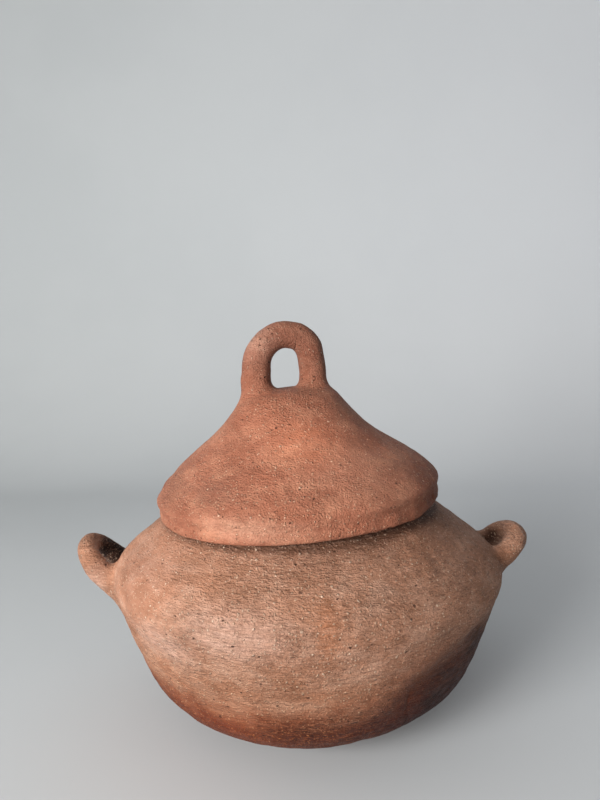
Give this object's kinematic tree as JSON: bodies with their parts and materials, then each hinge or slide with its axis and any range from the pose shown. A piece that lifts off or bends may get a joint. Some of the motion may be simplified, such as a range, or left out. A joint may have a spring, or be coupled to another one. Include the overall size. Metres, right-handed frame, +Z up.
{
  "type": "earthenware lidded cooking pot",
  "caption": "Deep round-bellied earthenware cooking pot with loop lugs on its shoulder and a lift-off conical lid carrying a loop handle.",
  "frame": {"origin": "centre of the flat that the pot stands on", "axes": "+Z up along the pot's axis, +X towards the right lug, +Y away from the viewer"},
  "size_m": [0.286, 0.24, 0.247],
  "materials": {
    "pot_clay": "matte",
    "lid_clay": "matte"
  },
  "bodies": {
    "pot": {"pot_base": "pot_clay", "pot_wall": "pot_clay", "mouth_collar": "pot_clay", "left_lug": "pot_clay", "right_lug": "pot_clay"},
    "lid": {"lid_lip": "lid_clay", "lid_cone": "lid_clay", "lid_handle": "lid_clay"}
  },
  "joints": [
    {"name": "lid_lift", "type": "slide", "parent": "pot", "child": "lid", "axis": [-0.0749, -0.0349, 0.9966], "range_m": [0, 0.12]}
  ]
}
